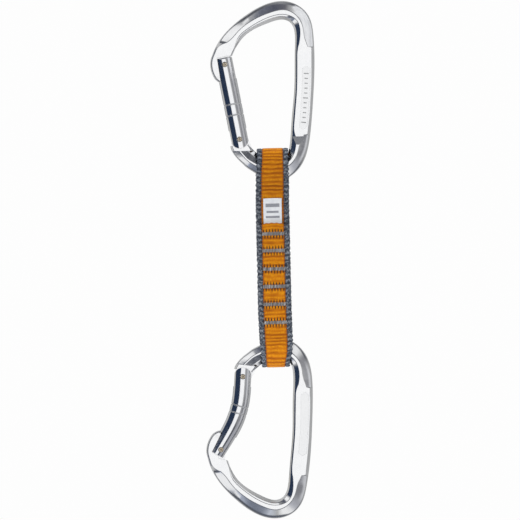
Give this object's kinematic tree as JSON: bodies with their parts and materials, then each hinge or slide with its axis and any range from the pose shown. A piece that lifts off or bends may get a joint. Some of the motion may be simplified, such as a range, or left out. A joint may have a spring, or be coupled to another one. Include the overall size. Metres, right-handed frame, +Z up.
{
  "type": "climbing quickdraw",
  "caption": "Climbing quickdraw: a straight-gate and a bent-gate aluminium carabiner joined by a short flat sewn webbing sling.",
  "frame": {"origin": "centre of the whole part's bounding box, in the plane both carabiners lie in", "axes": "+Z up the sling towards the upper carabiner, +X towards the spines, -Y out of the front face that carries the label"},
  "size_m": [0.066, 0.0166, 0.292],
  "materials": {
    "forged_aluminium": "polished",
    "gate_aluminium": "polished",
    "rivet_metal": "satin",
    "spring_steel": "satin",
    "nylon_webbing": "woven",
    "tack_thread": "stitched",
    "label_fabric": "woven"
  },
  "bodies": {
    "upper_carabiner": {"upper_frame": "forged_aluminium"},
    "upper_gate_assembly": {"upper_gate": "gate_aluminium", "upper_hinge_rivet": "rivet_metal", "upper_latch_rivet": "rivet_metal", "upper_gate_spring": "spring_steel"},
    "upper_follower": {"upper_spring_follower": "spring_steel"},
    "sling": {"sling_webbing": "nylon_webbing", "sling_label": "label_fabric", "bar_tack_1": "tack_thread", "bar_tack_2": "tack_thread", "bar_tack_3": "tack_thread", "bar_tack_4": "tack_thread", "bar_tack_5": "tack_thread", "bar_tack_6": "tack_thread"},
    "lower_carabiner": {"lower_frame": "forged_aluminium"},
    "lower_gate_assembly": {"lower_gate": "gate_aluminium", "lower_hinge_rivet": "rivet_metal", "lower_latch_rivet": "rivet_metal", "lower_gate_spring": "spring_steel"},
    "lower_follower": {"lower_spring_follower": "spring_steel"}
  },
  "joints": [
    {"name": "upper_gate_hinge", "type": "hinge", "parent": "upper_carabiner", "child": "upper_gate_assembly", "pos_m": [-0.01033, 0, 0.06849], "axis": [0, 1, 0], "range_deg": [0, 30]},
    {"name": "upper_follower_slide", "type": "slide", "parent": "upper_gate_assembly", "child": "upper_follower", "axis": [-0.1727, 0, 0.985], "range_m": [0, 0.0014], "deforming": ["upper_gate_spring"]},
    {"name": "sling_swing", "type": "hinge", "parent": "upper_carabiner", "child": "sling", "pos_m": [0, 0, 0.05274], "axis": [1, 0, 0], "range_deg": [-34, 34]},
    {"name": "lower_carabiner_swing", "type": "hinge", "parent": "sling", "child": "lower_carabiner", "pos_m": [0, 0, -0.05096], "axis": [1, 0, 0], "range_deg": [-30, 30]},
    {"name": "lower_gate_hinge", "type": "hinge", "parent": "lower_carabiner", "child": "lower_gate_assembly", "pos_m": [-0.01151, 0, -0.06539], "axis": [0, -1, 0], "range_deg": [0, 30]},
    {"name": "lower_follower_slide", "type": "slide", "parent": "lower_gate_assembly", "child": "lower_follower", "axis": [-0.0767, 0, -0.9971], "range_m": [0, 0.0014], "deforming": ["lower_gate_spring"]}
  ],
  "couplings": [
    {"joint": "upper_follower_slide", "follows": "upper_gate_hinge", "m_per_rad": 0.0026},
    {"joint": "lower_follower_slide", "follows": "lower_gate_hinge", "m_per_rad": 0.0026}
  ]
}
